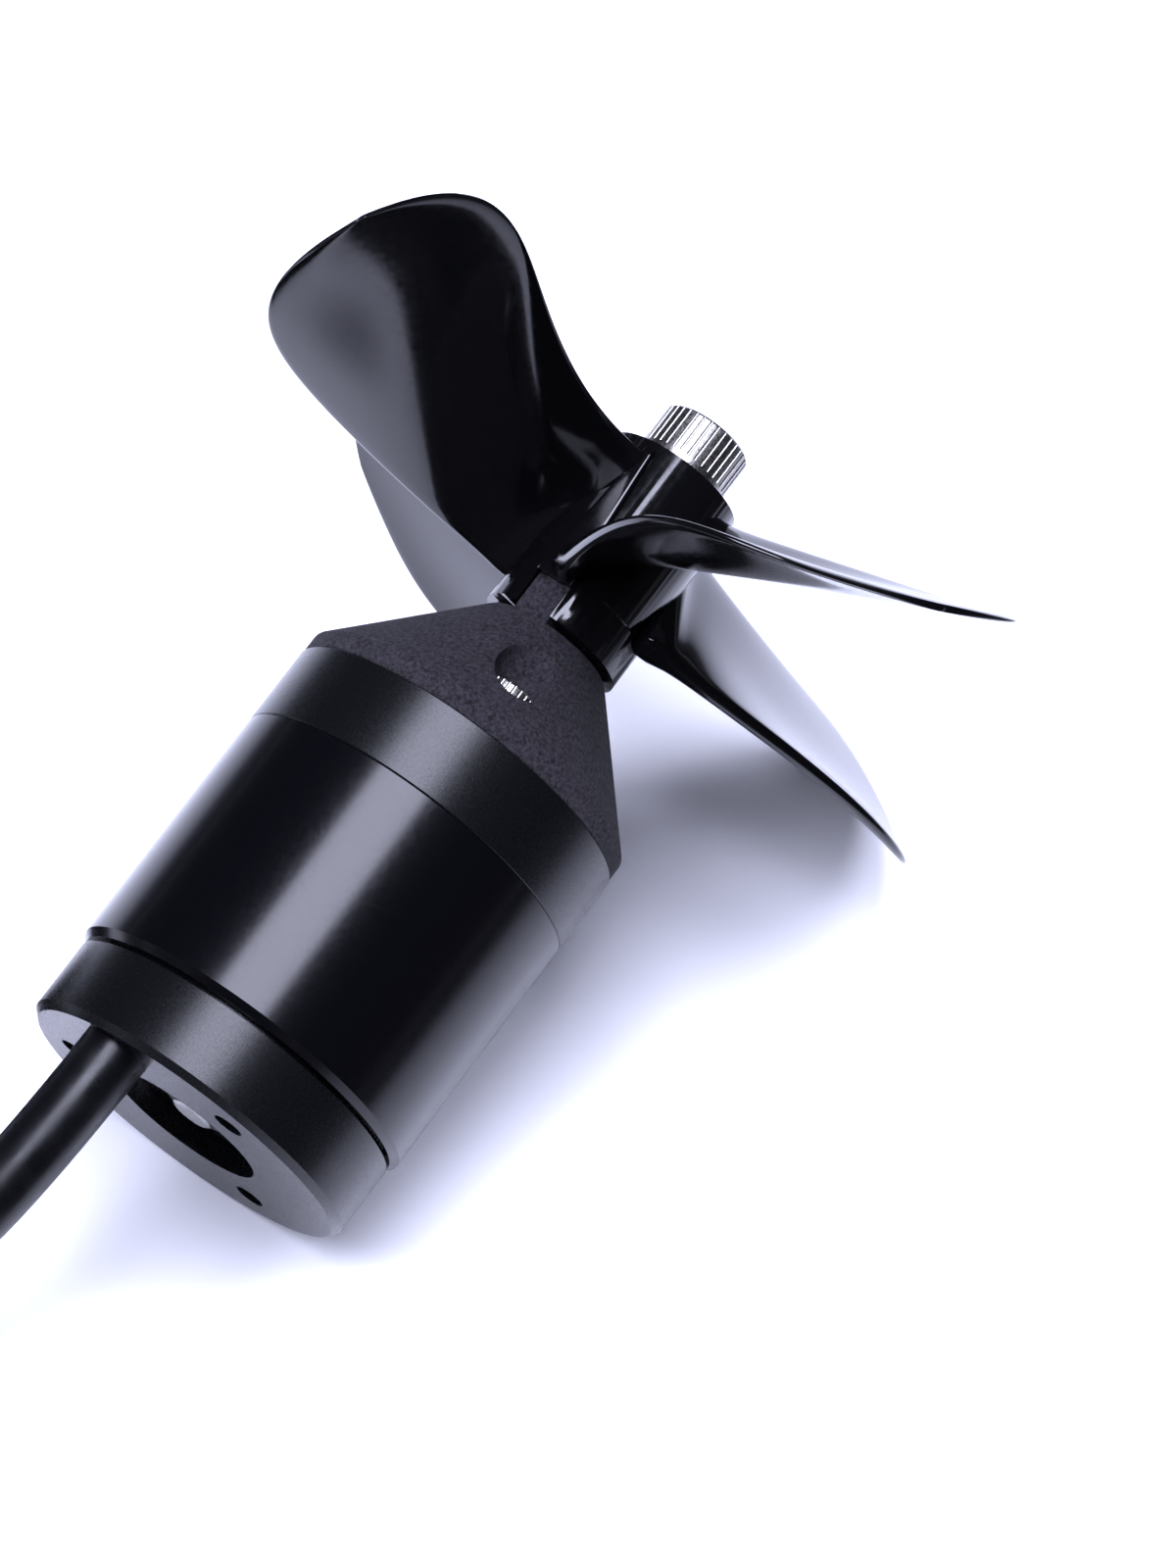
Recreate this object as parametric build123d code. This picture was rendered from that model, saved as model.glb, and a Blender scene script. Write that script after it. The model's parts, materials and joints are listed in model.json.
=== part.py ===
from build123d import *
from math import atan2, cos, degrees, exp, pi, radians, sin, sqrt, tan
import os

# Underwater thruster, sizes in millimetres.
# It is drawn along its own shaft first: x runs forward from the rear face to the propeller, z is up.
# At the end every piece is laid down as the thruster lies on a table: on the lower rim of the rear
# mount and on the tips of the two lower blades, nose up, with z = 0 on the table.

# Driving dimensions: the drum's radius, which sets the radii of mount, stator, bell and cone
drum_radius = 25.0
drum_wall = 1.8
magnet_thickness = 2.2
air_gap = 0.5
drum_play = 0.8

# Driving dimensions: rear mount
mount_step = 0.7
mount_radius = drum_radius - mount_step
mount_length = 10.5
mount_chamfer = 1.0
recess_radius = 11.0
recess_depth = 3.2
spigot_radius = drum_radius - drum_wall - drum_play
spigot_end = 13.0
hole_circle_radius = 0.7 * drum_radius
hole_radius = 2.1
hole_depth = 9.0
hole_count = 3
cable_angle = 60.0

# Driving dimensions: shaft and bearings
shaft_radius = 3.0
shaft_start = 1.4
shaft_end = 62.0
bearing_radius = 9.5
bearing_width = 6.0
bearing_shoulder_radius = 7.5
race_thickness = 1.6
ball_radius = 1.75
ball_count = 7
ball_clearance = 0.05
seal_thickness = 0.5
seal_inset = 0.1
cage_thickness = 1.2
cage_rear = 1.2
cage_front = 2.2
boss_radius = 11.0
boss_end = 52.5

# Driving dimensions: stator
core_start = 20.0
core_length = 24.0
core_radius = drum_radius - drum_wall - magnet_thickness - air_gap
slot_count = 12
tooth_width = 3.2
core_depth = core_radius - boss_radius
yoke_share = 6 / 19
yoke_radius = boss_radius + yoke_share * core_depth
shoe_inner_radius = core_radius - 0.2 * core_depth
shoe_edge = 0.7
shoe_angle = 26.0
insulator_thickness = 1.0
coil_thickness = 1.7
coil_inner_radius = yoke_radius + 0.4
coil_outer_radius = shoe_inner_radius - 0.2
coil_play = 0.1
insulator_step = 0.3

# Driving dimensions: rotor
drum_start = 11.3
drum_end = 47.5
drum_lip = 0.8
lip_length = 1.0
magnet_count = 14
magnet_start = 19.0
magnet_length = 26.0
magnet_angle = 21.0
bell_end = 58.8
bell_web_start = 54.0
bell_wall = 3.5
bell_spigot = 2.2
bell_boss_radius = 7.5
bell_boss_end = 72.0
seam_chamfer = 0.15

# Driving dimensions: cone
cone_end = 79.7
cone_rim_step = 0.15
cone_rim_radius = drum_radius - cone_rim_step
cone_rim_length = 2.8
cone_tip_radius = 9.2
cone_shoulder = 1.3
cone_edge = 0.25
cone_rim_edge = 0.4
dog_count = 2
dog_angle = 77.0
dog_width = 5.1
dog_length = 5.5
dog_inner_radius = 5.8
dog_outer_radius = 9.5
cone_screw_count = 3
cone_screw_angle = 105.0
cone_screw_circle = 0.676 * drum_radius
cone_screw_head_radius = 3.5
cone_screw_head = 4.0
cone_screw_radius = 2.0
cone_screw_length = 8.0
cone_screw_seat = 63.5
cone_screw_socket = 3.0
cone_screw_flutes = 24
cone_screw_play = 0.15
pocket_radius = 4.3

# Driving dimensions: propeller
hub_start = cone_end + 0.7
hub_end = 108.4
hub_length = hub_end - hub_start
hub_radius = 9.9
skirt_radius = 10.15
skirt_end = hub_start + 5.8
hub_edge = 0.4
skirt_edge = 0.3
skirt_slope = 0.6
hub_seat_radius = 5.5
rib_height = 0.8
rib_rear_width = 5.6
rib_front_width = 1.5
rib_end = hub_end - 1.4
rib_base = 8.0
rib_side = 0.6
rib_front_side = 0.2
notch_gap = 0.25
blade_count = 4
blade_angle = 45.0
blade_base = 8.0
blade_tip = 62.0
blade_start = 5.5

# How the blade changes from base to tip. Each is a value at the base, then what is added to it by the
# share of the way out, by that share squared and by it cubed. Pitch is in degrees and the rest in mm;
# middle and half chord are for a hub of blade_hub_length and follow the hub's length from there.
blade_hub_length = 28.0
blade_pitch = (56.5, -56.2, 31.0)
blade_middle = (15.0, -2.0, 5.7)
blade_sweep = (0.0, -10.7, 20.0)
blade_half_chord = (11.8, 4.2, 21.7, -5.0)
blade_tip_power = 4.4
blade_camber = 2.4
blade_thickness = 1.5
blade_base_thickness = 1.7
blade_tip_thinning = 0.35
blade_fillet = 2.2
blade_fillet_height = 9.0
blade_fillet_reach = 1.5
blade_thickest = 5.5

# Driving dimensions: propeller bolt and washer
bolt_radius = 4.0
bolt_end_gap = 1.4
bore_play = 0.2
bolt_head_radius = 6.5
bolt_head = 8.0
bolt_socket = 6.0
bolt_flutes = 36
screw_edge = 0.4
flute_radius = 0.28
flute_out = 0.12
washer_radius = 8.0
washer_thickness = 1.6

# Driving dimensions: cable
cable_radius = 4.5
cable_start = 8.0
cable_neck = 3.0
potting_radius = cable_radius + 1.3
lead_radius = 1.1
lead_circle = 1.3
lead_count = 3
lead_hole_radius = 3.2
wire_radius = 1.3
wire_spread = 1.6
collar_radius = 5.2
collar_length = 16.0
collar_nose = 5.0
wire_lead = 8.5
sleeve_radius = 2.6
sleeve_length = 10.0
sleeve_nose = 3.0
bullet_radius = 2.0
bullet_length = 12.0
slit_start = 4.5
slit_width = 0.6

# Driving dimensions: the coil that the cable is put away in, its centre and radii on the table
coil_x, coil_y = -80.0, 86.0
turn_radius = 47.0
turn_step = 4.5
layer_rise = 7.8
coil_lift = 1.0
tie_angle = 35.0
tie_width = 4.0

fit_gap = 0.1
thread_gap = 0.05

pieces = {}
cord_pieces = {}


# Helpers
def turned(outline):
    """A solid of revolution about the shaft, from (x, radius) points."""
    return revolve(make_face(Polyline(*[(x, r) for x, r in outline], close=True)), Axis.X)


def ring(start, end, inner, outer):
    """A plain ring about the shaft."""
    return turned([(start, inner), (end, inner), (end, outer), (start, outer)])


def rod(start, end, radius, along=0.0, angle=0.0):
    """A round bar parallel to the shaft, at a distance and an angle from it."""
    y, z = along * cos(radians(angle)), along * sin(radians(angle))
    middle = Location(((start + end) / 2, y, z), (0, 90, 0))
    return middle * Cylinder(radius, end - start)


def about_shaft(shape, angle):
    """The shape turned about the shaft."""
    return shape.rotate(Axis.X, angle)


def repeated(shape, count, first=0.0):
    """Equal copies of a shape, evenly spaced round the shaft."""
    return [about_shaft(shape, first + i * 360 / count) for i in range(count)]


def cut_all(body, tools):
    """The body with each of the tools taken off it."""
    for tool in tools:
        body = body - tool
    return body


def fused(shapes):
    """The shapes joined to one solid."""
    body = shapes[0]
    for shape in shapes[1:]:
        body = body + shape
    return body


def socket_screw(under_head, end, radius, head_radius, head, socket, flutes):
    """A socket-head cap screw along the shaft: shank, knurled head and hexagon socket."""
    top = under_head + head
    edge = screw_edge
    body = turned([(end, 0), (end, radius - edge), (end + edge, radius), (under_head, radius),
                   (under_head, head_radius), (top - edge, head_radius), (top, head_radius - edge), (top, 0)])
    hexagon = Plane(origin=(top, 0, 0), x_dir=(0, 1, 0), z_dir=(-1, 0, 0))
    body = body - extrude(hexagon * RegularPolygon(socket / sqrt(3), 6), head / 2)
    flute = rod(under_head + head / 4, top + edge, flute_radius, head_radius + flute_out)
    return cut_all(body, repeated(flute, flutes))


# Rear mount: cap with recess, tapped holes and cable hole, in one piece with the bearing tube
rear_bearing = recess_depth
front_bearing = boss_end - bearing_width
mount = turned([
    (0, recess_radius), (recess_depth, recess_radius), (recess_depth, bearing_radius),
    (rear_bearing + bearing_width, bearing_radius), (rear_bearing + bearing_width, bearing_shoulder_radius),
    (front_bearing, bearing_shoulder_radius), (front_bearing, bearing_radius), (boss_end, bearing_radius),
    (boss_end, boss_radius), (spigot_end, boss_radius), (spigot_end, spigot_radius),
    (mount_length, spigot_radius), (mount_length, mount_radius), (mount_chamfer, mount_radius),
    (0, mount_radius - mount_chamfer)])
mount = cut_all(mount, repeated(rod(-1, hole_depth, hole_radius, hole_circle_radius), hole_count))
mount = mount - rod(-1, cable_start, cable_radius, hole_circle_radius, cable_angle)
mount = mount - rod(cable_neck, cable_start, potting_radius, hole_circle_radius, cable_angle)
mount = mount - rod(cable_start - 1, spigot_end + 1, lead_hole_radius, hole_circle_radius, cable_angle)
pieces["rear_mount"] = mount

# Potting that holds and seals the cable in the mount, and the leads from the cable to the coils
potting = rod(cable_neck, cable_start, potting_radius, hole_circle_radius, cable_angle)
pieces["cable_potting"] = potting - rod(0, cable_start + 1, cable_radius, hole_circle_radius, cable_angle)
coil_end_rear = core_start - insulator_thickness - coil_play - coil_thickness
lead_centre = rod(cable_start, coil_end_rear, lead_radius, hole_circle_radius, cable_angle)
exit_y = hole_circle_radius * cos(radians(cable_angle))
exit_z = hole_circle_radius * sin(radians(cable_angle))
pieces["winding_leads"] = [
    Pos(0, lead_circle * cos(2 * pi * i / lead_count), lead_circle * sin(2 * pi * i / lead_count)) * lead_centre
    for i in range(lead_count)]

# Stator core: yoke, teeth and pole shoes as one stack
def core_outline(yoke_inner, outer):
    """The face of one lamination: a yoke ring with a tooth and a pole shoe for each slot."""
    tooth = Pos((yoke_inner + shoe_inner_radius + 0.5) / 2, 0) * Rectangle(
        shoe_inner_radius + 0.5 - yoke_inner, tooth_width)
    half = radians(shoe_angle / 2)
    inner, tip = shoe_inner_radius, outer
    shoe = make_face(
        ThreePointArc((tip * cos(half), -tip * sin(half)), (tip, 0), (tip * cos(half), tip * sin(half)))
        + Line((tip * cos(half), tip * sin(half)), ((tip - shoe_edge) * cos(half), (tip - shoe_edge) * sin(half)))
        + Line(((tip - shoe_edge) * cos(half), (tip - shoe_edge) * sin(half)), (inner, tooth_width / 2))
        + Line((inner, tooth_width / 2), (inner, -tooth_width / 2))
        + Line((inner, -tooth_width / 2), ((tip - shoe_edge) * cos(half), -(tip - shoe_edge) * sin(half)))
        + Line(((tip - shoe_edge) * cos(half), -(tip - shoe_edge) * sin(half)), (tip * cos(half), -tip * sin(half))))
    face = Circle(yoke_radius)
    for i in range(slot_count):
        face = face + Rot(0, 0, i * 360 / slot_count) * (tooth + shoe)
    return face - Circle(yoke_inner)


def stack(start, length, outer):
    """The lamination's outline drawn out along the shaft."""
    across = Plane(origin=(start, 0, 0), x_dir=(0, 1, 0), z_dir=(1, 0, 0))
    return extrude(across * core_outline(boss_radius, outer), length)


core_end = core_start + core_length
pieces["stator_core"] = stack(core_start, core_length, core_radius)
pieces["rear_insulator"] = stack(core_start - insulator_thickness, insulator_thickness, core_radius - insulator_step)
pieces["front_insulator"] = stack(core_end, insulator_thickness, core_radius - insulator_step)

# Twelve coils, each a rounded block wound round its tooth
coil_hole_width = tooth_width + 2 * coil_play
coil_hole_length = core_length + 2 * insulator_thickness + 2 * coil_play
coil_middle = core_start + core_length / 2
coil_plane = Plane(origin=(coil_middle, coil_inner_radius, 0), x_dir=(1, 0, 0), z_dir=(0, 1, 0))
coil_face = RectangleRounded(coil_hole_length + 2 * coil_thickness, coil_hole_width + 2 * coil_thickness,
                             coil_thickness) - Rectangle(coil_hole_length, coil_hole_width)
coil = extrude(coil_plane * coil_face, coil_outer_radius - coil_inner_radius)
pieces["coils"] = repeated(coil, slot_count)


# Ball bearings: two races, two seals, and the balls in their cage
def bearing(name, start):
    """The pieces of one sealed ball bearing whose rear face is at start."""
    middle = start + bearing_width / 2
    outer_bore = bearing_radius - race_thickness
    inner_top = shaft_radius + race_thickness
    pitch = (outer_bore + inner_top) / 2
    groove = Location((middle, 0, 0), (0, 90, 0)) * Torus(pitch, ball_radius + ball_clearance)
    pieces[name + "_outer_race"] = ring(start, start + bearing_width, outer_bore, bearing_radius) - groove
    pieces[name + "_inner_race"] = ring(start, start + bearing_width, shaft_radius, inner_top) - groove
    seal = ring(start + seal_inset, start + seal_inset + seal_thickness, inner_top + fit_gap, outer_bore)
    pieces[name + "_seals"] = [seal, Pos(bearing_width - seal_thickness - 2 * seal_inset, 0, 0) * seal]
    ball = Pos(middle, pitch, 0) * Sphere(ball_radius)
    pieces[name + "_balls"] = repeated(ball, ball_count)
    cage = ring(middle - cage_rear, middle + cage_front, pitch - cage_thickness / 2, pitch + cage_thickness / 2)
    pocket = Pos(middle, pitch, 0) * Sphere(ball_radius)
    pieces[name + "_cage"] = cut_all(cage, repeated(pocket, ball_count))


bearing("rear_bearing", rear_bearing)
bearing("front_bearing", front_bearing)

# Shaft, with the retaining ring behind the rear bearing and the spacer before the front one
clip_start, clip_end, clip_groove = 2.2, 3.0, 2.6
end_chamfer = 0.5
pieces["shaft"] = turned([
    (shaft_start, 0), (shaft_start, shaft_radius - end_chamfer), (shaft_start + end_chamfer / 2, shaft_radius),
    (clip_start, shaft_radius), (clip_start, clip_groove), (clip_end, clip_groove), (clip_end, shaft_radius),
    (shaft_end - end_chamfer, shaft_radius), (shaft_end, shaft_radius - end_chamfer), (shaft_end, 0)])
clip_gap = Pos((clip_start + clip_end) / 2, 0, -4) * Box(2, 3.2, 8)
pieces["retaining_ring"] = ring(clip_start, clip_end, clip_groove, shaft_radius + 1.2) - clip_gap
pieces["shaft_spacer"] = ring(boss_end, bell_web_start, shaft_radius, shaft_radius + 1.4)

# Rotor drum with its chamfered rear lip, and the magnets inside it
drum_inner = drum_radius - drum_wall
pieces["rotor_drum"] = turned([
    (drum_start, drum_inner), (drum_end, drum_inner), (drum_end, drum_radius - seam_chamfer),
    (drum_end - seam_chamfer, drum_radius), (drum_start + lip_length, drum_radius),
    (drum_start, drum_radius - drum_lip)])
magnet_sector = Rot(0, 0, -magnet_angle / 2) * (Circle(drum_inner) - Circle(drum_inner - magnet_thickness))
wedge_reach = 2 * drum_inner
wedge = make_face(Polyline(
    (0, 0), (wedge_reach * cos(radians(magnet_angle / 2)), wedge_reach * sin(radians(magnet_angle / 2))),
    (wedge_reach * cos(radians(magnet_angle / 2)), -wedge_reach * sin(radians(magnet_angle / 2))), close=True))
magnet_plane = Plane(origin=(magnet_start, 0, 0), x_dir=(0, 1, 0), z_dir=(1, 0, 0))
magnet = extrude(magnet_plane * (magnet_sector & wedge), magnet_length)
pieces["magnets"] = repeated(magnet, magnet_count)

# Front bell: flush ring, spigot into the drum, web, and the boss that takes shaft and bolt
bell_inner = drum_radius - bell_wall
bell = turned([
    (drum_end - bell_spigot, bell_inner), (drum_end - bell_spigot, drum_inner), (drum_end, drum_inner),
    (drum_end, drum_radius - seam_chamfer), (drum_end + seam_chamfer, drum_radius),
    (bell_end - seam_chamfer, drum_radius), (bell_end, drum_radius - seam_chamfer),
    (bell_end, bell_boss_radius), (bell_boss_end, bell_boss_radius), (bell_boss_end, bolt_radius + thread_gap),
    (shaft_end + 0.5, bolt_radius + thread_gap), (shaft_end + 0.5, shaft_radius),
    (bell_web_start, shaft_radius), (bell_web_start, bell_inner)])
grub_x, grub_radius = 60.6, 1.25
grub_axis = Location((grub_x, 0, 0), (-90, 0, 0))
grub_length = bell_boss_radius - shaft_radius - 0.3
grub = grub_axis * Pos(0, 0, shaft_radius + grub_length / 2) * Cylinder(grub_radius, grub_length)
grub_hole = grub_axis * Pos(0, 0, bell_boss_radius / 2 + 1) * Cylinder(grub_radius, bell_boss_radius + 2)
grub_hex = grub_axis * Pos(0, 0, shaft_radius + grub_length - 0.5) * extrude(RegularPolygon(0.85, 6), 1)
bell = cut_all(bell, [about_shaft(grub_hole - rod(0, 100, shaft_radius), a) for a in (0, 90)])
screw_shank = rod(cone_screw_seat - cone_screw_length, cone_screw_seat, cone_screw_radius + thread_gap,
                  cone_screw_circle)
bell = cut_all(bell, repeated(screw_shank, cone_screw_count, cone_screw_angle))
pieces["front_bell"] = bell
pieces["grub_screws"] = [about_shaft(grub - grub_hex, a) for a in (0, 90)]

# Cone: rim, flank and rounded shoulder, screw pockets, and the dogs that drive the propeller
rim_end = bell_end + cone_rim_length
cone_profile = FilletPolyline(
    (bell_end, bell_boss_radius + fit_gap), (bell_end, cone_rim_radius), (rim_end, cone_rim_radius),
    (cone_end, cone_tip_radius), (cone_end, bolt_radius + bore_play),
    radius=[cone_edge, cone_rim_edge, cone_shoulder])
cone_inner = Polyline((cone_end, bolt_radius + bore_play), (bell_boss_end + fit_gap, bolt_radius + bore_play),
                      (bell_boss_end + fit_gap, bell_boss_radius + fit_gap),
                      (bell_end, bell_boss_radius + fit_gap))
cone = revolve(make_face(cone_profile + cone_inner), Axis.X)
dog_box = Pos(cone_end + dog_length / 2 - 0.5, (dog_inner_radius + dog_outer_radius) / 2 + 1, 0) * Box(
    dog_length + 1, dog_outer_radius - dog_inner_radius + 2, dog_width)
dog = dog_box & ring(cone_end - 1, cone_end + dog_length, dog_inner_radius, dog_outer_radius)
cone = fused([cone] + repeated(dog, dog_count, dog_angle))
pocket = rod(cone_screw_seat, cone_end + 5, pocket_radius, cone_screw_circle)
screw_hole = rod(bell_end - 1, cone_screw_seat + 1, cone_screw_radius + cone_screw_play, cone_screw_circle)
cone = cut_all(cone, repeated(pocket + screw_hole, cone_screw_count, cone_screw_angle))
pieces["prop_cone"] = cone
cone_screw = Pos(0, cone_screw_circle, 0) * socket_screw(
    cone_screw_seat, cone_screw_seat - cone_screw_length, cone_screw_radius, cone_screw_head_radius,
    cone_screw_head, cone_screw_socket, cone_screw_flutes)
pieces["cone_screws"] = repeated(cone_screw, cone_screw_count, cone_screw_angle)


# Propeller blade: flat cuts across its length, each a thin cambered lens
def blade_share(height):
    """How far out a cut lies, 0 at the base and 1 at the tip."""
    return (height - blade_base) / (blade_tip - blade_base)


def curve(values, v):
    """A value at the base, and what its share out, that squared and that cubed add to it."""
    return sum(value * v ** i for i, value in enumerate(values))


def blade_cut(height, points=18):
    """Points round one cut: chord line turned by the pitch, with camber and thickness on it."""
    v = blade_share(height)
    out = max(v, 0.0)
    pitch = radians(curve(blade_pitch, v))
    hub_share = hub_length / blade_hub_length
    middle_x = hub_start + hub_share * curve(blade_middle, v)
    middle_t = curve(blade_sweep, v)
    half_chord = hub_share * curve(blade_half_chord, v) * sqrt(1 - out ** blade_tip_power)
    camber = blade_camber * sin(pi * min(out, 1.0)) * (1 - 0.3 * out)
    thick = (blade_thickness + blade_base_thickness * (1 - out)) * (1 - blade_tip_thinning * out ** 6)
    thick = thick + blade_fillet * exp(-(height - blade_fillet_height) / blade_fillet_reach)
    thick = min(thick, blade_thickest)
    cut = []
    for i in range(points):
        a = 2 * pi * i / points
        along = half_chord * cos(a)
        off = camber * sin(a) ** 2 + thick / 2 * sin(a) * sqrt(1 + cos(a) ** 2)
        x = middle_x + along * sin(pitch) - off * cos(pitch)
        t = middle_t + along * cos(pitch) + off * sin(pitch)
        cut.append(Vector(x, height, t))
    return cut


cut_heights = [blade_start, 8.5, 10.5, 12.5, 16, 24, 33, 42, 50, 56, 59.5, 61.2, blade_tip - 0.2]
blade = loft([Face(Wire(Spline(blade_cut(h), periodic=True))) for h in cut_heights])

# Propeller hub: skirt with a notch for each dog, a tapered rib over each notch, bore and washer seat
hub = turned([
    (cone_end, bolt_radius + bore_play), (hub_end - washer_thickness, bolt_radius + bore_play),
    (hub_end - washer_thickness, washer_radius + fit_gap), (hub_end, washer_radius + fit_gap),
    (hub_end, hub_radius - hub_edge), (hub_end - hub_edge, hub_radius), (skirt_end + skirt_slope, hub_radius),
    (skirt_end, skirt_radius), (hub_start + skirt_edge, skirt_radius), (hub_start, skirt_radius - skirt_edge),
    (hub_start, hub_seat_radius), (cone_end, hub_seat_radius)])
rib_top = hub_radius + rib_height
rib_rear_x = cone_end + dog_length


def rib_face(x, width, side):
    """One end of a rib: its base inside the hub, and its top with a slope on each side."""
    half = width / 2
    return Face(Wire(Polyline((x, rib_base, -half), (x, rib_top, -half + side), (x, rib_top, half - side),
                              (x, rib_base, half), close=True)))


rib = loft([rib_face(rib_rear_x, rib_rear_width, rib_side), rib_face(rib_end, rib_front_width, rib_front_side)])
notch = Pos((hub_start + rib_rear_x + notch_gap) / 2 - 1, hub_seat_radius + 5, 0) * Box(
    rib_rear_x + notch_gap - hub_start + 2, 10, dog_width + 2 * notch_gap)
propeller = fused([hub] + repeated(rib, dog_count, dog_angle) + repeated(blade, blade_count, blade_angle))
propeller = cut_all(propeller, repeated(notch, dog_count, dog_angle))
pieces["propeller"] = propeller

# Washer let into the hub, and the bolt through washer, hub and cone into the bell's boss
pieces["prop_washer"] = ring(hub_end - washer_thickness, hub_end, bolt_radius + bore_play, washer_radius)
pieces["prop_bolt"] = socket_screw(hub_end, shaft_end + bolt_end_gap, bolt_radius, bolt_head_radius,
                                   bolt_head, bolt_socket, bolt_flutes)


# Pose on the table
def solids_of(shapes):
    """A node's solids as a list."""
    return shapes if isinstance(shapes, list) else [shapes]


def lowest(piece, tilt):
    """The lowest point of a piece once the nose is raised by tilt degrees."""
    return piece.rotate(Axis.Y, -tilt).bounding_box().min.Z


tilt = 15.0
contact_arm = 95.0
for step in range(4):
    rise = lowest(pieces["rear_mount"], tilt) - lowest(pieces["propeller"], tilt)
    tilt = tilt + degrees(atan2(rise, contact_arm))
tilted = [s.rotate(Axis.Y, -tilt) for shapes in pieces.values() for s in solids_of(shapes)]
box = Compound(children=tilted).bounding_box()
pose = Pos(-(box.min.X + box.max.X) / 2, -(box.min.Y + box.max.Y) / 2, -box.min.Z) * Rot(0, -tilt, 0)


def on_table(x, y, z):
    """Where a point given along the shaft comes to lie on the table."""
    return (pose * Pos(x, y, z)).position


# Cable: out of the mount along the shaft's line, down to the table and round to the coil
def rounded_path(points):
    """Straight runs through the points, each corner with as large an arc as its runs allow."""
    radii = []
    for before, corner, after in zip(points, points[1:], points[2:]):
        turn = radians((corner - before).get_angle(after - corner))
        radii.append(0.45 * min((corner - before).length, (after - corner).length) / tan(turn / 2))
    return FilletPolyline(*points, radius=radii), radii


def tube(points, radius, name):
    """A round tube along a rounded path; its length, arcs and volume are printed."""
    path, radii = rounded_path(points)
    body = sweep(Plane(origin=points[0], z_dir=points[1] - points[0]) * Circle(radius), path=path)
    section = pi * radius ** 2 * path.length
    print(name, "length", round(path.length, 1), "radii", [round(r, 1) for r in radii],
          "volume share", round(body.volume / section, 3))
    return body


def in_coil(x, y, z):
    """A point given from the coil's centre."""
    return Vector(coil_x + x, coil_y + y, z)


floor_z = coil_lift + cable_radius
outer_turn = turn_radius + turn_step
lead_route = [on_table(cable_start, exit_y, exit_z), on_table(-12.0, exit_y, exit_z),
              Vector(-95.0, 12.0, 24.5), Vector(-114.0, 26.0, 14.5), Vector(-127.5, 52.0, 7.5),
              Vector(coil_x - outer_turn, coil_y, floor_z)]
cord_pieces["cable_lead"] = tube(lead_route, cable_radius, "cable_lead")

coil_inside = turn_radius - turn_step - cable_radius
coil_outside = outer_turn + cable_radius
coil_top = floor_z + layer_rise + cable_radius
profile = Plane.XZ * Pos((coil_inside + coil_outside) / 2, (coil_lift + coil_top) / 2) * RectangleRounded(
    coil_outside - coil_inside, coil_top - coil_lift, cable_radius - 0.5)
cord_pieces["cable_coil"] = Pos(coil_x, coil_y, 0) * revolve(profile, Axis.Z)

tail_route = [in_coil(42.3, -9.6, 13.3), in_coil(30.6, -28.3, 13.2), in_coil(9.9, -35.8, 9.0),
              in_coil(-9.8, -29.7, 6.0), in_coil(-21.2, -15.0, floor_z)]
cord_pieces["cable_tail"] = tube(tail_route, cable_radius, "cable_tail")
split = tail_route[-1]
ahead = (tail_route[-1] - tail_route[-2]).normalized()

# Tie round the coil
tie_depth = coil_outside - coil_inside + 0.2
tie_height = coil_top - coil_lift + 0.2
tie_band = Box(tie_depth + 2, tie_width, tie_height + 2) - Box(tie_depth, tie_width + 1, tie_height)
tie_head = Pos((tie_depth + 2) / 2 + 1.5, 0, 2) * Box(3, tie_width + 2, 6)
tie_place = Rot(0, 0, tie_angle) * Pos((coil_inside + coil_outside) / 2, 0, tie_height / 2 + 1)
cord_pieces["cable_tie"] = Pos(coil_x, coil_y, 0) * tie_place * (tie_band + tie_head)

# Collar over the split, three phase wires, and a sleeve and a bullet connector on each
collar_place = Plane(origin=split - ahead * (collar_length - collar_nose), z_dir=ahead)
collar_body = extrude(collar_place * Circle(collar_radius), collar_length)
collar_bore = extrude(collar_place * Circle(cable_radius), collar_length - collar_nose)
cord_pieces["split_collar"] = collar_body - collar_bore
across = Vector(0, 0, 1).cross(ahead).normalized()
upward = ahead.cross(across)
wire_routes = [
    [in_coil(-28.5, 7.0, 5.0), in_coil(-23.5, 17.0, 3.0), in_coil(-14.5, 23.5, sleeve_radius)],
    [in_coil(-27.2, 5.0, 3.4), in_coil(-21.0, 13.0, 2.7), in_coil(-11.5, 16.8, sleeve_radius)],
    [in_coil(-32.2, 6.8, 3.6), in_coil(-28.6, 17.0, 2.7), in_coil(-20.4, 25.0, sleeve_radius)]]
wires, sleeves, bullets = [], [], []
for i, route in enumerate(wire_routes):
    angle = 2 * pi * i / len(wire_routes) + pi / 2
    start = split + ahead * collar_nose
    start = start + across * (wire_spread * cos(angle)) + upward * (wire_spread * sin(angle))
    wires.append(tube([start, start + ahead * wire_lead] + route, wire_radius, "phase wire"))
    aim = (route[-1] - route[-2]).normalized()
    sleeve_place = Plane(origin=route[-1] - aim * (sleeve_length - sleeve_nose), z_dir=aim)
    bullet_place = Plane(origin=route[-1], z_dir=aim)
    slit = extrude(bullet_place.offset(slit_start) * Rectangle(slit_width, 4 * bullet_radius), bullet_length)
    bullets.append(extrude(bullet_place * Circle(bullet_radius), bullet_length) - slit)
    sleeve = extrude(sleeve_place * Circle(sleeve_radius), sleeve_length)
    sleeve = sleeve - extrude(sleeve_place * Circle(wire_radius), sleeve_length - sleeve_nose)
    sleeves.append(sleeve - extrude(bullet_place * Circle(bullet_radius), sleeve_length))
cord_pieces["phase_wires"] = wires
cord_pieces["wire_sleeves"] = sleeves
cord_pieces["bullet_connectors"] = bullets

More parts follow.
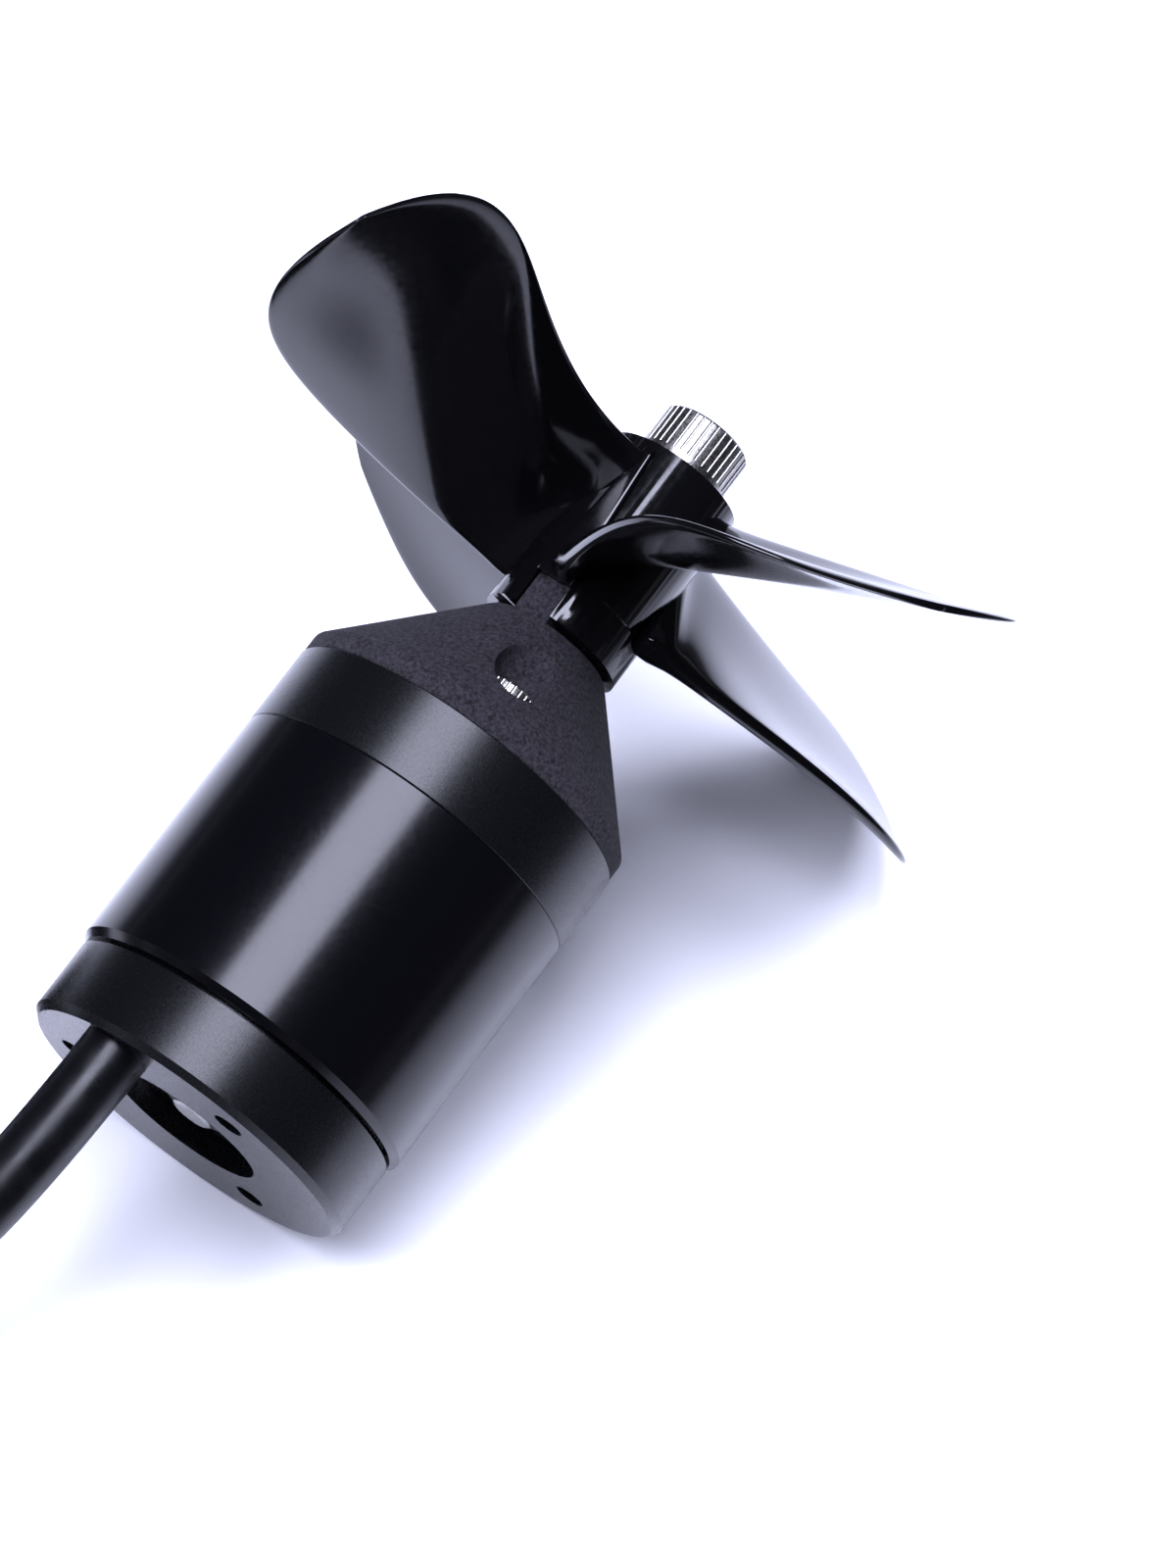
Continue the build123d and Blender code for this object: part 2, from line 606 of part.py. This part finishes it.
# Writing
print("tilt", round(tilt, 4), "origin to rear face", on_table(0, 0, 0))
os.makedirs("parts", exist_ok=True)
placed = {name: [pose * s for s in solids_of(shapes)] for name, shapes in pieces.items()}
placed.update({name: solids_of(shapes) for name, shapes in cord_pieces.items()})
for name, solids in placed.items():
    export_step(Compound(children=solids) if len(solids) > 1 else solids[0], "parts/" + name + ".step")
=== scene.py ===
import json
from math import pi

import bpy
import numpy as np
from mathutils import Matrix, Vector


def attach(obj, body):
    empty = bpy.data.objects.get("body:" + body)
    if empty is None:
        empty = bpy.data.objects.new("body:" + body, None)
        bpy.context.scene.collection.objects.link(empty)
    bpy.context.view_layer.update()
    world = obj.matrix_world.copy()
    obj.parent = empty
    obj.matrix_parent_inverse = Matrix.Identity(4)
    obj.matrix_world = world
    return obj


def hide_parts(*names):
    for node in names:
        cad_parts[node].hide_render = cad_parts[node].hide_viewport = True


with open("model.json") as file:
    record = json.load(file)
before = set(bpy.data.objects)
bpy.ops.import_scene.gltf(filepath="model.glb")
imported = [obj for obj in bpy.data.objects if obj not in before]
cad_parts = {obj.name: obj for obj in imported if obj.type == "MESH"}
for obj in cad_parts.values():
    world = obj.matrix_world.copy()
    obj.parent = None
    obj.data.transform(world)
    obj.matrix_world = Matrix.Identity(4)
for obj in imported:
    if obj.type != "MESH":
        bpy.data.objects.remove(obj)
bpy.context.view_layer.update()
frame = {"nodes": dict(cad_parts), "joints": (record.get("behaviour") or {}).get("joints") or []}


# Rear mount
# Turned from aluminium bar in one piece with the bearing tube inside, drilled and tapped, then blasted
# with glass beads and anodised black. The blasting leaves an even satin grain that blurs each reflection.
MM = 0.001


def linear(shade):
    """An sRGB hex colour as linear red, green, blue and a full alpha."""
    parts = np.array([int(shade[i:i + 2], 16) for i in (1, 3, 5)]) / 255
    light = np.where(parts <= 0.04045, parts / 12.92, ((parts + 0.055) / 1.055) ** 2.4)
    return (*light.tolist(), 1.0)


def new_material(name, shade, **values):
    """A material with one Principled surface. Each value is named as its socket, in small letters."""
    material = bpy.data.materials.new(name)
    material.use_nodes = True
    surface = material.node_tree.nodes["Principled BSDF"]
    surface.inputs["Base Color"].default_value = linear(shade)
    for socket in surface.inputs:
        key = socket.name.lower().replace(" ", "_")
        if key in values:
            socket.default_value = values.pop(key)
    if values:
        raise ValueError(f"{name} has no socket for {list(values)}")
    return material


def add_node(owner, kind, feeds=None, **settings):
    """Adds a shader node. Settings are its own; feeds are its sockets' numbers, or what is linked to them."""
    made = owner.node_tree.nodes.new("ShaderNode" + kind)
    for name, value in settings.items():
        setattr(made, name, value)
    for name, value in (feeds or {}).items():
        if isinstance(value, bpy.types.NodeSocket):
            owner.node_tree.links.new(value, made.inputs[name])
        else:
            made.inputs[name].default_value = value
    return made


def feed(material, name, value):
    """Links a value to a socket of the material's Principled surface."""
    material.node_tree.links.new(value, material.node_tree.nodes["Principled BSDF"].inputs[name])


def noise(material, size, detail=2.0, roughness=0.5):
    """A cloudy pattern whose spots are about this many mm across."""
    where = add_node(material, "TexCoord").outputs["Object"]
    return add_node(material, "TexNoise", {"Vector": where, "Scale": 1 / (size * MM), "Detail": detail,
                                           "Roughness": roughness}).outputs["Fac"]


def spread(material, pattern, low, high, start=0.3, end=0.7):
    """A pattern between start and end, spread out to run from low to high."""
    return add_node(material, "MapRange", {"Value": pattern, "From Min": start, "From Max": end,
                                           "To Min": low, "To Max": high}).outputs["Result"]


def blend(material, pattern, first, second):
    """Two sRGB shades mixed by a pattern."""
    mixed = add_node(material, "Mix", {0: pattern, 6: linear(first), 7: linear(second)}, data_type="RGBA")
    return mixed.outputs[2]


def raised(material, *layers):
    """Bumps laid over each other, each a pattern and its height in mm."""
    normal = None
    for pattern, height in layers:
        feeds = {"Height": pattern, "Distance": height * MM}
        if normal:
            feeds["Normal"] = normal
        normal = add_node(material, "Bump", feeds).outputs["Normal"]
    feed(material, "Normal", normal)


def dress(material, *names):
    """Gives CAD nodes this material in place of the plain one that they came with."""
    for name in names:
        frame["nodes"][name].material_slots[0].material = material


bead_grain = 0.3
blasted = new_material("anodised_aluminium_bead_blasted", "#070809", roughness=0.27, ior=1.4)
blasted_grain = noise(blasted, bead_grain, detail=6.0, roughness=0.8)
feed(blasted, "Roughness", spread(blasted, blasted_grain, 0.2, 0.34))
raised(blasted, (blasted_grain, 0.012))
dress(blasted, "rear_mount", "front_bell")


# Cable seal and winding leads
# Black casting resin poured round the cable in the mount, with three silicone leads behind it.
resin = new_material("casting_resin", "#08080a", roughness=0.2)
raised(resin, (noise(resin, 1.5), 0.05))
dress(resin, "cable_potting")

silicone = new_material("silicone_lead_insulation", "#0d0d0f", roughness=0.5)
feed(silicone, "Roughness", spread(silicone, noise(silicone, 0.8), 0.42, 0.6))
dress(silicone, "winding_leads", "phase_wires")


# Stator
# A stack of varnished steel sheets with a nylon insulator at each end, and enamelled copper wire wound
# on its teeth. The sheets' edges show as fine lines across the shaft, and so do the turns of wire.
spin = next(joint for joint in frame["joints"] if joint["name"] == "rotor_spin")
shaft_axis = np.array(spin["axis"]) / np.linalg.norm(spin["axis"])
sideways = np.array([0.0, 1.0, 0.0])
upward = np.cross(shaft_axis, sideways)


def along(material, direction):
    """How far a point lies in a direction, in metres."""
    where = add_node(material, "TexCoord").outputs["Object"]
    share = add_node(material, "VectorMath", {0: where, 1: tuple(direction)}, operation="DOT_PRODUCT")
    return share.outputs["Value"]


def stripes(material, distance, step):
    """Waves from 0 to 1 along a distance, one each step in mm."""
    turned = add_node(material, "Math", {0: distance, 1: 2 * pi / (step * MM)}, operation="MULTIPLY")
    wave = add_node(material, "Math", {0: turned.outputs[0]}, operation="SINE")
    return spread(material, wave.outputs[0], 0.0, 1.0, -1.0, 1.0)


sheet_thickness = 0.35
laminations = new_material("varnished_lamination_steel", "#5b5e63", metallic=1.0, roughness=0.4)
sheets = stripes(laminations, along(laminations, shaft_axis), sheet_thickness)
feed(laminations, "Base Color", blend(laminations, sheets, "#3c3e42", "#6d7076"))
raised(laminations, (sheets, 0.04))
dress(laminations, "stator_core")

wire_step = 0.45
copper = new_material("enamelled_copper_wire", "#b5652d", metallic=1.0, roughness=0.3)
turns = stripes(copper, along(copper, upward + 0.3 * sideways), wire_step)
feed(copper, "Base Color", blend(copper, turns, "#8a441c", "#c9763a"))
raised(copper, (turns, 0.15))
dress(copper, "coils")

nylon = new_material("moulded_nylon", "#121214", roughness=0.55)
feed(nylon, "Roughness", spread(nylon, noise(nylon, 0.6), 0.45, 0.65))
raised(nylon, (noise(nylon, 0.6), 0.02))
dress(nylon, "rear_insulator", "front_insulator", "cable_tie")


# Bearings
# Ground chrome-steel races and balls in a pressed cage, closed by seals of black rubber on steel.
ground_steel = new_material("ground_bearing_steel", "#b9bbc0", metallic=1.0, roughness=0.16)
feed(ground_steel, "Roughness", spread(ground_steel, noise(ground_steel, 0.3), 0.12, 0.24))
bearing_pieces = ("outer_race", "inner_race", "balls", "cage")
dress(ground_steel, *[f"{end}_bearing_{piece}" for end in ("rear", "front") for piece in bearing_pieces])

seal_rubber = new_material("nitrile_seal_rubber", "#101012", roughness=0.6)
raised(seal_rubber, (noise(seal_rubber, 0.4), 0.02))
dress(seal_rubber, "rear_bearing_seals", "front_bearing_seals")


# Shaft, retaining ring, spacer and grub screws
# The shaft and spacer are turned stainless steel, bright on the shaft's chamfered end; the ring and the
# grub screws are blackened spring steel.
turned_steel = new_material("turned_stainless_steel", "#9c9b98", metallic=1.0, roughness=0.3)
turning = noise(turned_steel, 0.25, detail=3.0)
feed(turned_steel, "Roughness", spread(turned_steel, turning, 0.22, 0.4))
raised(turned_steel, (turning, 0.004))
dress(turned_steel, "shaft", "shaft_spacer")

blackened = new_material("blackened_spring_steel", "#1b1b1e", metallic=1.0, roughness=0.38)
feed(blackened, "Roughness", spread(blackened, noise(blackened, 0.3), 0.3, 0.5))
dress(blackened, "retaining_ring", "grub_screws")


# Drum and magnets
# The turning shell is drawn steel tube, ground smooth and coated gloss black; it shows one long soft
# reflection. The magnets glued inside it are nickel-plated.
gloss_black = new_material("smooth_gloss_black_anodising", "#040406", roughness=0.18, ior=1.4)
lathe_marks = noise(gloss_black, 0.5, detail=4.0)
feed(gloss_black, "Roughness", spread(gloss_black, lathe_marks, 0.16, 0.22))
raised(gloss_black, (lathe_marks, 0.0012))
dress(gloss_black, "rotor_drum")

nickel = new_material("nickel_plate", "#aaa79f", metallic=1.0, roughness=0.28)
feed(nickel, "Roughness", spread(nickel, noise(nickel, 0.7), 0.2, 0.36))
dress(nickel, "magnets")


# Cone and its screws
# The cone is printed from nylon powder by laser sintering and dyed black: charcoal, with a dry sandy
# grain and faint blotches. The cap screws in its pockets are stainless steel, bright on their knurls.
powder_grain = 0.55
sintered = new_material("sintered_nylon_dyed_black", "#1c1b1d", roughness=0.85, specular_ior_level=0.3)
powder = noise(sintered, powder_grain, detail=6.0, roughness=0.8)
blotches = noise(sintered, 5.0, detail=3.0)
speckle = spread(sintered, powder, 0.0, 1.0, 0.4, 0.6)
feed(sintered, "Base Color", blend(sintered, speckle, "#0d0d0e", "#37343a"))
raised(sintered, (blotches, 0.06), (powder, 0.5))
dress(sintered, "prop_cone")

stainless = new_material("bright_stainless_steel", "#a3a19d", metallic=1.0, roughness=0.3)
feed(stainless, "Roughness", spread(stainless, noise(stainless, 0.4, detail=3.0), 0.22, 0.4))
raised(stainless, (noise(stainless, 0.6), 0.004))
dress(stainless, "cone_screws", "prop_washer", "prop_bolt")


# Propeller
# One moulding in black glass-filled plastic with a smooth gloss skin: four broad twisted blades on a
# hub with a bored seat for the washer, a notch for each dog of the cone and a tapered rib before it.
hub_start, hub_end = 80.4, 108.4
hub_radius, skirt_radius, skirt_end = 9.9, 10.15, 86.2
hub_seat_radius, bore_radius = 5.5, 4.2
cone_end = 79.7
washer_radius, washer_thickness = 8.1, 1.6
dog_count, dog_angle, dog_width, dog_length = 2, 77.0, 5.1, 5.5
notch_gap = 0.25
rib_height, rib_end = 0.8, 107.0
rib_rear_width, rib_front_width = 5.6, 1.5
blade_count, blade_angle = 4, 42.3
blade_start, blade_base, blade_tip = 5.5, 8.0, 62.1
blade_pitch = (52.5, -69.8, 48.8, -1.9)
blade_middle_x = (96.1, -2.4, 12.3, -6.4)
blade_sweep = (-2.2, -11.8, 19.4, 3.0)
blade_half_chord = (12.8, 4.5, 21.6, -7.1)
blade_tip_power, blade_camber = 5.1, 3.0
blade_camber_fade, blade_tip_thinning = 0.3, 0.35
blade_thickness, blade_base_thickness, blade_thickest = 1.5, 1.7, 5.5
blade_fillet, blade_fillet_height, blade_fillet_reach = 2.2, 9.0, 1.5
rear_edge_share, rear_squareness = 0.75, 50
rear_start, rear_start_angle = 0.93, 76
front_points, side_points, rear_points, blade_rows = 20, 14, 10, 110
skirt_slope, hub_edge, hub_columns = 0.3, 0.25, 192
rib_sink, rib_squareness, rib_rows, rib_columns = 0.6, 0.3, 24, 40
notch_rear_margin, notch_outer_margin = 1.0, 2.0
joint_place = 40.0
rear_face = np.array(spin["pos_m"]) - shaft_axis * joint_place * MM


def from_shaft(points):
    """Points in mm along the shaft, sideways and upward from the rear face, as places in metres."""
    return rear_face + MM * (points @ np.array([shaft_axis, sideways, upward]))


def turned_about(points, angle):
    """Points in mm, turned about the shaft by an angle in degrees."""
    c, s = np.cos(np.radians(angle)), np.sin(np.radians(angle))
    return points @ np.array([[1, 0, 0], [0, c, s], [0, -s, c]])


def skin(name, grids, ring=False):
    """A mesh over grids of points, rows by columns. Each row closes on itself; the end rows are closed by
    one face each or, in a ring, joined to each other."""
    corners, faces = [], []
    for points in grids:
        rows, columns = points.shape[:2]
        first = sum(len(c) for c in corners)
        index = np.arange(rows * columns).reshape(rows, columns)
        after = np.roll(index, -1, axis=1)
        low = index if ring else index[:-1]
        quads = np.stack([low, np.roll(index, -1, 0)[:len(low)], np.roll(after, -1, 0)[:len(low)],
                          after[:len(low)]], axis=-1).reshape(-1, 4)
        ends = [] if ring else [index[0], index[-1][::-1]]
        flat = points.reshape(-1, 3)
        a, b, c = flat[quads[:, 0]], flat[quads[:, 1]], flat[quads[:, 2]]
        inside_out = np.einsum("ij,ij->i", a - flat.mean(0), np.cross(b - a, c - a)).sum() < 0
        turn = -1 if inside_out else 1
        faces += [(face[::turn] + first).tolist() for face in [*quads, *ends]]
        corners.append(flat)
    mesh = bpy.data.meshes.new(name)
    mesh.from_pydata(np.concatenate(corners), [], faces)
    mesh.polygons.foreach_set("use_smooth", [len(face) == 4 for face in faces])
    made = bpy.data.objects.new(name, mesh)
    bpy.context.scene.collection.objects.link(made)
    return made


def lathe(profile, columns):
    """A closed outline of (along, radius) points swept round the shaft: each point goes round a circle."""
    profile = np.array(profile)
    around = np.arange(columns) * 2 * pi / columns
    x = np.repeat(profile[:, :1], columns, axis=1)
    return np.stack([x, profile[:, 1:] * np.cos(around), profile[:, 1:] * np.sin(around)], axis=-1)


def blade_profile():
    """Half the outline of a blade's cut, from its thin rounded front edge to its blunt rear edge: how far
    along the half chord each point lies, and its share of the half thickness before the rear taper."""
    front = np.cos(np.linspace(0, pi / 2, front_points, endpoint=False))
    side = -np.linspace(0, rear_start, side_points, endpoint=False)
    end_angle = np.radians(np.linspace(rear_start_angle, 0, rear_points))
    place = np.concatenate([front, side, -np.cos(end_angle) ** (2 / rear_squareness)])
    share = np.concatenate([np.sqrt(1 - front ** 4), np.sqrt(1 - np.abs(side) ** rear_squareness),
                            np.sin(end_angle)])
    return place, share


def curve(values, v):
    """A value at the base, and what its share out, that squared and that cubed add to it."""
    return sum(value * v ** power for power, value in enumerate(values))


def blade(rows):
    """A blade's skin. A flat cut across it at each height has a chord turned by its pitch, a curved middle
    line that is convex to the rear, and a thin profile on that; cuts lie closer towards the tip."""
    place, share = blade_profile()
    place, share = np.append(place, place[-2:0:-1]), np.append(share, -share[-2:0:-1])
    rise = np.linspace(0, 1, rows)[:, None]
    height = blade_start + (blade_tip - blade_start) * (1 - (1 - rise) ** 2)
    v = (height - blade_base) / (blade_tip - blade_base)
    out = np.clip(v, 0, 1)
    pitch = np.radians(curve(blade_pitch, v))
    half_chord = curve(blade_half_chord, v) * np.sqrt(1 - np.minimum(out, 0.9999) ** blade_tip_power)
    camber = blade_camber * np.sin(pi * out) * (1 - blade_camber_fade * out)
    thick = (blade_thickness + blade_base_thickness * (1 - out)) * (1 - blade_tip_thinning * out ** 6)
    thick = thick + blade_fillet * np.exp(-(height - blade_fillet_height) / blade_fillet_reach)
    thick = np.minimum(thick, blade_thickest)
    rear = rear_edge_share * (1 - out ** 10)
    taper = 1 - (1 - rear) * np.maximum(-place, 0) ** 3
    chordwise = half_chord * place
    lift = camber * (1 - place ** 2) + thick / 2 * share * taper
    x = curve(blade_middle_x, v) + chordwise * np.sin(pitch) - lift * np.cos(pitch)
    t = curve(blade_sweep, v) + chordwise * np.cos(pitch) + lift * np.sin(pitch)
    return np.stack([x, np.broadcast_to(height, x.shape), t], axis=-1)


def rib(rows, columns):
    """A rib along the hub: its cut is a rounded box about the hub's surface, a circle's sine and cosine
    raised to a low power, and the box gets narrower in proportion to the way forward."""
    def boxed(wave):
        return np.sign(wave) * np.abs(wave) ** rib_squareness

    share = np.linspace(0, 1, rows)[:, None]
    around = np.arange(columns)[None, :] * 2 * pi / columns
    x = cone_end + dog_length + (rib_end - cone_end - dog_length) * share
    half = (rib_rear_width + (rib_front_width - rib_rear_width) * share) / 2
    up = hub_radius + (rib_height + rib_sink) * boxed(np.sin(around)) - rib_sink
    return np.stack([x + 0 * up, up + 0 * x, half * boxed(np.cos(around))], axis=-1)


gloss_moulding = new_material("glass_filled_plastic_gloss_moulded", "#050506", roughness=0.1, ior=1.52)
flow = noise(gloss_moulding, 14.0, detail=1.0)
fibre = noise(gloss_moulding, 0.9, detail=3.0)
feed(gloss_moulding, "Roughness", spread(gloss_moulding, fibre, 0.08, 0.14))
raised(gloss_moulding, (flow, 0.03), (fibre, 0.0012))

blade_angles = [blade_angle + i * 360 / blade_count for i in range(blade_count)]
dog_angles = [dog_angle + i * 360 / dog_count for i in range(dog_count)]
one_blade, one_rib = blade(blade_rows), rib(rib_rows, rib_columns)
blades = skin("propeller_blades", [from_shaft(turned_about(one_blade, angle)) for angle in blade_angles])
ribs = skin("hub_ribs", [from_shaft(turned_about(one_rib, angle)) for angle in dog_angles])
hub = skin("propeller_hub", [from_shaft(lathe([
    (cone_end, bore_radius), (cone_end, hub_seat_radius), (hub_start, hub_seat_radius),
    (hub_start, skirt_radius), (skirt_end, skirt_radius), (skirt_end + skirt_slope, hub_radius),
    (hub_end, hub_radius), (hub_end, washer_radius), (hub_end - washer_thickness, washer_radius),
    (hub_end - washer_thickness, bore_radius)], hub_columns))], ring=True)
notch_x = np.array([hub_start - notch_rear_margin, cone_end + dog_length + notch_gap])
notch_half = dog_width / 2 + notch_gap
notch_outside = skirt_radius + notch_outer_margin
notch_corners = ((hub_seat_radius, -notch_half), (hub_seat_radius, notch_half),
                 (notch_outside, notch_half), (notch_outside, -notch_half))
notch = np.array([[[x, y, z] for y, z in notch_corners] for x in notch_x])
cutter = skin("notch_cutter", [from_shaft(turned_about(notch, angle)) for angle in dog_angles])


def finish_mesh(piece):
    """Makes a piece's modifiers part of its mesh."""
    shape = bpy.data.meshes.new_from_object(piece.evaluated_get(bpy.context.evaluated_depsgraph_get()))
    piece.modifiers.clear()
    piece.data = shape


cut = hub.modifiers.new("notches", "BOOLEAN")
cut.operation, cut.solver, cut.object = "DIFFERENCE", "EXACT", cutter
finish_mesh(hub)
bpy.data.objects.remove(cutter)
edge = hub.modifiers.new("moulded_edges", "BEVEL")
edge.width, edge.segments, edge.limit_method, edge.angle_limit = hub_edge * MM, 3, "ANGLE", 0.6
for piece in (blades, ribs, hub):
    piece.data.materials.append(gloss_moulding)
    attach(piece, "rotor")
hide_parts("propeller")


# Cable
# A round 9 mm cable with a smooth black jacket. It leaves the mount in line with the shaft, droops to
# the table and is put away as a tied coil; its end is split into three phase wires with connectors.
cable_diameter = 9.0
coil_middle = (-80.0, 86.0)
floor_turn_z, top_turn_z = 5.5, 13.3
outer_radius, inner_radius, top_radius = 51.5, 42.5, 47.0
turn_points = 16
inner_turn, rise_turn, top_turn, last_turn = (290, 350), (600, 675), (640, 720), (860, 915)
last_radius = inner_radius + 1
lead_points = [(-53.0, 8.75, 39.8), (-72.15, 8.75, 34.0), (-95.0, 12.0, 24.5), (-114.0, 26.0, 14.5),
               (-127.5, 52.0, 7.5)]
tail_points = [(42.3, -9.6, 13.3), (30.6, -28.3, 13.2), (9.9, -35.8, 9.0), (-9.8, -29.7, 6.0),
               (-21.2, -15.0, 5.5)]


def eased(turned, start, end):
    """Goes smoothly from 0 to 1 while the turned angle goes from start to end."""
    share = np.clip((turned - start) / (end - start), 0, 1)
    return share ** 2 * (3 - 2 * share)


def coil_point(turned):
    """A point of the coil: an outer and an inner turn on the table, then a turn on top of them both."""
    radius = outer_radius + (inner_radius - outer_radius) * eased(turned, *inner_turn)
    radius += (top_radius - inner_radius) * eased(turned, *top_turn)
    radius += (last_radius - top_radius) * eased(turned, *last_turn)
    angle = np.radians(180 - turned)
    z = floor_turn_z + (top_turn_z - floor_turn_z) * eased(turned, *rise_turn)
    return coil_middle[0] + radius * np.cos(angle), coil_middle[1] + radius * np.sin(angle), z


route = list(lead_points)
route += [coil_point(turned) for turned in np.arange(0, last_turn[1], 360 / turn_points)]
route += [(coil_middle[0] + x, coil_middle[1] + y, z) for x, y, z in tail_points]

cable_curve = bpy.data.curves.new("cable", "CURVE")
cable_curve.dimensions = "3D"
cable_curve.bevel_depth = cable_diameter / 2 * MM
cable_curve.bevel_resolution = 12
cable_curve.use_fill_caps = True
line = cable_curve.splines.new("NURBS")
line.points.add(len(route) - 1)
line.points.foreach_set("co", np.array([(*[c * MM for c in point], 1.0) for point in route]).ravel())
line.order_u = 3
line.use_endpoint_u = True
line.resolution_u = 10
line.use_smooth = True
cable = bpy.data.objects.new("cable", cable_curve)
bpy.context.scene.collection.objects.link(cable)

jacket = new_material("polyurethane_cable_jacket", "#070709", roughness=0.3, ior=1.4)
rub = noise(jacket, 3.0, detail=4.0)
feed(jacket, "Roughness", spread(jacket, rub, 0.24, 0.38))
raised(jacket, (noise(jacket, 9.0, detail=1.0), 0.1), (rub, 0.01))
cable_curve.materials.append(jacket)
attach(cable, "stator")
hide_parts("cable_lead", "cable_coil", "cable_tail")

shrunk = new_material("shrunk_sleeve", "#0e0e10", roughness=0.5)
raised(shrunk, (noise(shrunk, 1.2, detail=3.0), 0.05))
dress(shrunk, "split_collar", "wire_sleeves")

gilt = new_material("gold_plated_brass", "#d9b25c", metallic=1.0, roughness=0.2)
feed(gilt, "Roughness", spread(gilt, noise(gilt, 0.5), 0.15, 0.3))
dress(gilt, "bullet_connectors")


# Table and light
# A smooth white table top in a dark room. Glossy pieces mirror the one large soft lamp straight over them
# and the table. In what is glossy, the table's colour is painted darker the farther it lies from them: a
# painted shade in the table's reflection. Two more lamps, which don't show in what is glossy, brighten the
# table from both sides until it is white. Only the camera sees a white backdrop.
cool_white, table_white, reflected_table_painted_shade = "#e2e5ff", "#fafbff", "#060607"
table_size = 8.0
half = table_size / 2
table_mesh = bpy.data.meshes.new("table")
corners = [(-half, -half, 0), (half, -half, 0), (half, half, 0), (-half, half, 0)]
table_mesh.from_pydata(corners, [], [(0, 1, 2, 3)])
table = bpy.data.objects.new("table", table_mesh)
bpy.context.scene.collection.objects.link(table)
camera_lift = 0.02
near_shade, far_shade, shade_start, shade_end = 0.1, 0.95, 0.07, 0.3
white_top = new_material("white_table_top", table_white, roughness=1.0, specular_ior_level=0.0)
rays = add_node(white_top, "LightPath").outputs
mirrored = add_node(white_top, "Math", {0: rays["Is Glossy Ray"], 1: rays["Is Transmission Ray"]},
                    operation="MAXIMUM")
where = add_node(white_top, "TexCoord").outputs["Object"]
away = add_node(white_top, "VectorMath", {0: where}, operation="LENGTH").outputs["Value"]
# Painted shade: for glossy and transmission rays, the table's colour runs from white to a dark shade with
# distance from the middle.
farther = spread(white_top, away, near_shade, far_shade, shade_start, shade_end)
darker = add_node(white_top, "Math", {0: mirrored.outputs[0], 1: farther}, operation="MULTIPLY")
feed(white_top, "Base Color", blend(white_top, darker.outputs[0], table_white, reflected_table_painted_shade))
to_camera = add_node(white_top, "Math", {0: rays["Is Camera Ray"], 1: camera_lift}, operation="MULTIPLY")
white_top.node_tree.nodes["Principled BSDF"].inputs["Emission Color"].default_value = linear(cool_white)
feed(white_top, "Emission Strength", to_camera.outputs[0])
table_mesh.materials.append(white_top)


def softbox(name, place, length, width, power, mirrored=True):
    """A rectangular area light that faces the thruster, and shows or doesn't show in what is glossy."""
    light = bpy.data.lights.new(name, "AREA")
    light.shape, light.size, light.size_y, light.energy = "RECTANGLE", length, width, power
    light.color = linear(cool_white)[:3]
    lamp = bpy.data.objects.new(name, light)
    lamp.location = place
    lamp.rotation_euler = Vector(place).to_track_quat("Z", "Y").to_euler()
    lamp.visible_glossy = mirrored
    bpy.context.scene.collection.objects.link(lamp)


softbox("overhead_softbox", (-0.02, 0.05, 0.7), 0.5, 0.36, 8.5)
softbox("left_fill_softbox", (-0.5, 0.35, 0.8), 0.5, 0.5, 13.0, mirrored=False)
softbox("right_fill_softbox", (0.35, -0.35, 0.9), 0.5, 0.5, 6.0, mirrored=False)

world = bpy.data.worlds.new("studio")
world.use_nodes = True
bpy.context.scene.world = world
height = add_node(world, "SeparateXYZ", {0: add_node(world, "TexCoord").outputs["Generated"]}).outputs["Z"]
room = add_node(world, "ValToRGB", {0: height})
for stop, place, shade in zip(room.color_ramp.elements, (0.0, 0.1), ("#8a8c96", "#2c2d34")):
    stop.position, stop.color = place, linear(shade)
seen = add_node(world, "LightPath").outputs["Is Camera Ray"]
backdrop = add_node(world, "Mix", {0: seen, 6: room.outputs[0], 7: linear("#ffffff")}, data_type="RGBA")
background = world.node_tree.nodes["Background"]
world.node_tree.links.new(backdrop.outputs[2], background.inputs["Color"])
background.inputs["Strength"].default_value = 1.0


# Camera
# A long lens above and behind the rear mount, with the propeller towards the upper right.
camera_place = Vector((-429.87, -212.21, 725.69)) * MM
looks_along = Vector((0.52439, 0.2355, -0.81830)).normalized()
image_up = Vector((0.63552, 0.5313, 0.56026))
image_right = looks_along.cross(image_up).normalized()
image_up = image_right.cross(looks_along)
camera_data = bpy.data.cameras.new("camera")
camera_data.lens = 147.54
camera_data.sensor_width = 36.0
camera_data.clip_start = 0.01
camera = bpy.data.objects.new("camera", camera_data)
axes = Matrix((image_right, image_up, -looks_along)).transposed()
camera.matrix_world = Matrix.Translation(camera_place) @ axes.to_4x4()
bpy.context.scene.collection.objects.link(camera)
bpy.context.scene.camera = camera

bpy.context.scene.view_settings.view_transform = "Standard"
